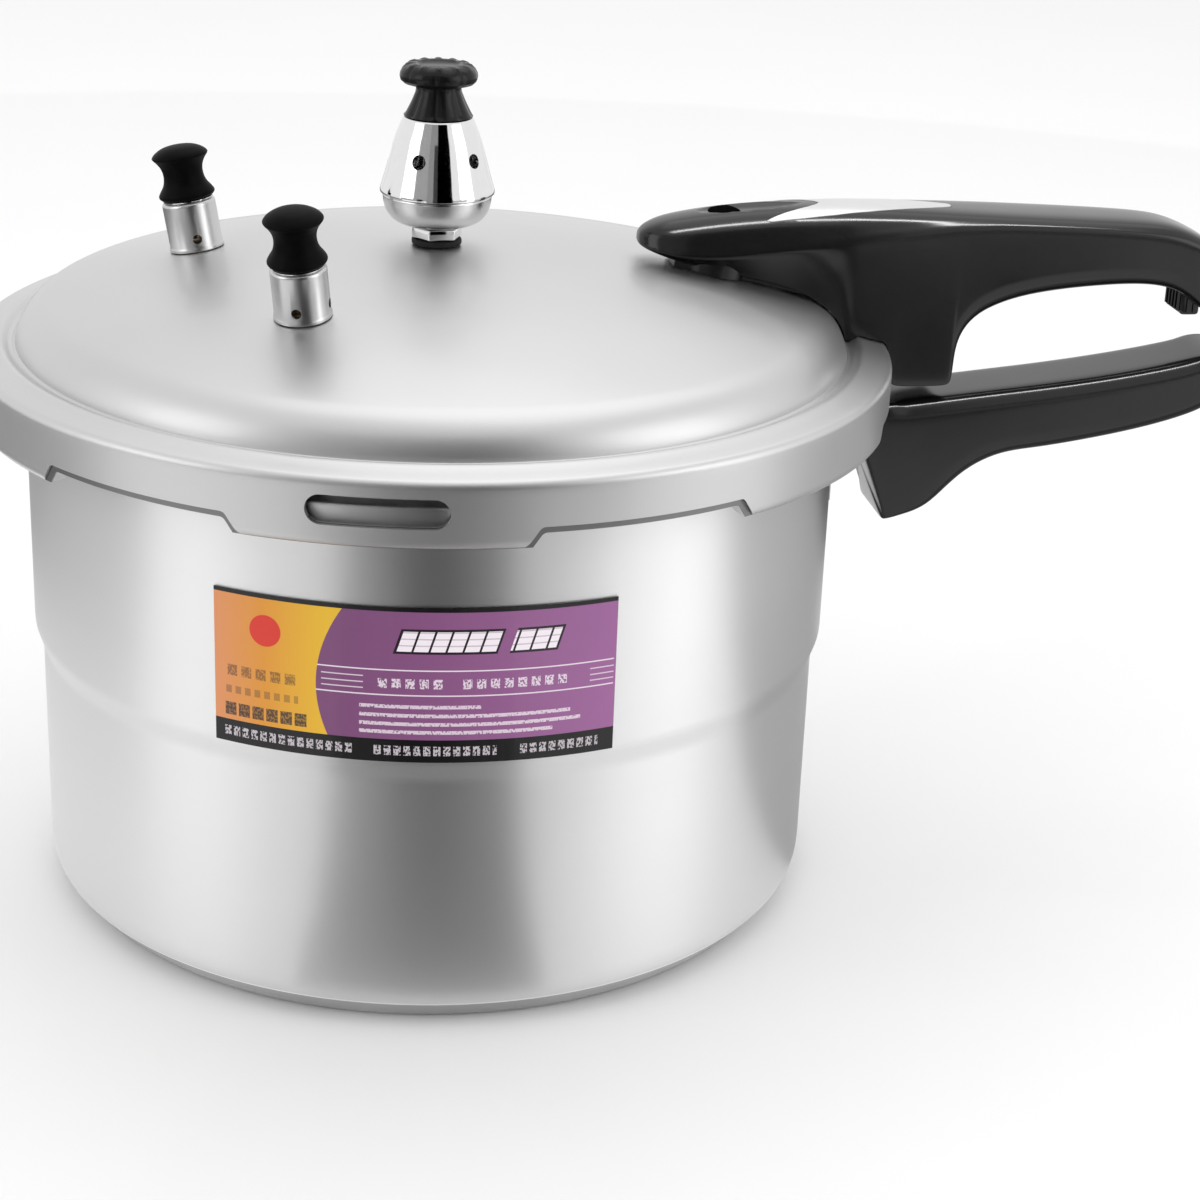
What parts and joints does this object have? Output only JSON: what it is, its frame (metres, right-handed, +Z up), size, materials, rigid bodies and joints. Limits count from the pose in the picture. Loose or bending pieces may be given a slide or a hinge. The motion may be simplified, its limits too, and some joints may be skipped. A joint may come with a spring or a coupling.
{
  "type": "pressure canner",
  "caption": "Aluminium pressure pot with a domed bayonet lid, long black handles, a weighted regulator, pull-up relief valves and a float pin.",
  "frame": {"origin": "on the pot's axis, on the plane it stands on", "axes": "+Z up, +X along the two handles"},
  "size_m": [0.3942, 0.277, 0.2534],
  "materials": {
    "pot_aluminium": "polished",
    "lid_aluminium": "satin",
    "steel": "plain",
    "valve_steel": "turned",
    "chrome": "polished",
    "brass": "turned",
    "bakelite": "gloss",
    "inlay_silver": "satin",
    "black_rubber": "matte",
    "red_indicator": "matte",
    "label_print": "printed foil"
  },
  "bodies": {
    "pot": {"pot_body": "pot_aluminium", "pot_label": "label_print", "pot_bracket": "steel", "pot_rivet_upper": "pot_aluminium", "pot_rivet_lower": "pot_aluminium", "pot_handle": "bakelite", "pot_handle_screw": "steel"},
    "rack": {"steam_rack": "pot_aluminium"},
    "gasket": {"sealing_gasket": "black_rubber"},
    "lid": {"lid_shell": "lid_aluminium", "lid_handle": "bakelite", "lid_handle_inlay": "inlay_silver", "lid_handle_screw_front": "steel", "lid_handle_screw_rear": "steel", "vent_pipe": "steel", "vent_seal": "black_rubber", "vent_washer": "black_rubber", "vent_nut": "chrome", "vent_filter": "steel", "float_valve_bush": "steel", "float_valve_seal": "black_rubber", "relief_valve_a_seat": "brass", "relief_valve_a_seal": "black_rubber", "relief_valve_a_nut": "steel", "relief_valve_a_shell": "valve_steel", "relief_valve_a_spring": "steel", "relief_valve_b_seat": "brass", "relief_valve_b_seal": "black_rubber", "relief_valve_b_nut": "steel", "relief_valve_b_shell": "valve_steel", "relief_valve_b_spring": "steel"},
    "regulator_core": {"regulator_needle": "steel"},
    "regulator": {"regulator_base_ring": "chrome", "regulator_bell": "chrome", "regulator_knob": "bakelite"},
    "relief_a": {"relief_valve_a_stem": "steel", "relief_valve_a_knob": "bakelite"},
    "relief_b": {"relief_valve_b_stem": "steel", "relief_valve_b_knob": "bakelite"},
    "float_pin": {"float_valve_pin": "red_indicator"}
  },
  "joints": [
    {"name": "lid_lift", "type": "slide", "parent": "pot", "child": "gasket", "axis": [0, 0, 1], "range_m": [0, 0.12]},
    {"name": "lid_turn", "type": "hinge", "parent": "gasket", "child": "lid", "pos_m": [0, 0, 0.1665], "axis": [0, 0, 1], "range_deg": [0, 30]},
    {"name": "rack_lift", "type": "slide", "parent": "pot", "child": "rack", "axis": [0, 0, 1], "range_m": [0, 0.06]},
    {"name": "regulator_lift", "type": "slide", "parent": "lid", "child": "regulator_core", "axis": [0, 0, 1], "range_m": [0, 0.03]},
    {"name": "regulator_spin", "type": "hinge", "parent": "regulator_core", "child": "regulator", "pos_m": [0, 0, 0.22], "axis": [0, 0, 1], "continuous": true},
    {"name": "relief_valve_a_pull", "type": "slide", "parent": "lid", "child": "relief_a", "axis": [-0.1644, 0.0503, 0.9851], "range_m": [0, 0.003], "stiffness_N_per_m": 300, "springref_m": -0.003, "deforming": ["relief_valve_a_spring"]},
    {"name": "relief_valve_b_pull", "type": "slide", "parent": "lid", "child": "relief_b", "axis": [-0.0998, -0.1339, 0.986], "range_m": [0, 0.003], "stiffness_N_per_m": 300, "springref_m": -0.003, "deforming": ["relief_valve_b_spring"]},
    {"name": "float_rise", "type": "slide", "parent": "lid", "child": "float_pin", "axis": [0.1977, 0, 0.9803], "range_m": [0, 0.004]}
  ]
}
